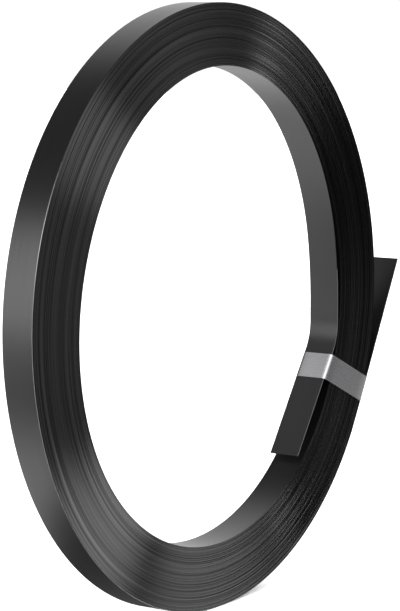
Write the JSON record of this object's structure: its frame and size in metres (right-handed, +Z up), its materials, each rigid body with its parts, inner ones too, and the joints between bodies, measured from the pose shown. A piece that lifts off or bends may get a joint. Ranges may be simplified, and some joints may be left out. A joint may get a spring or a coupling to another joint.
{
  "type": "steel strapping coil",
  "caption": "Hand coil of black painted flat steel strapping, both ends held to the ring by one plain metal tie.",
  "frame": {"origin": "on the floor under the middle of the part's length, at mid width of the strip: the centre of the bottom of its box", "axes": "+Z up, Y along the coil's axis, +X towards the side where the two ends and the tie are; the side without the tie's lap faces -Y"},
  "size_m": [0.3586, 0.0207, 0.331],
  "materials": {
    "painted_strip": "satin black paint",
    "tie_metal": "dull zinc-grey rolled strip"
  },
  "bodies": {
    "root": {"strip_coil": "painted_strip", "tie_strip": "tie_metal"}
  },
  "joints": []
}
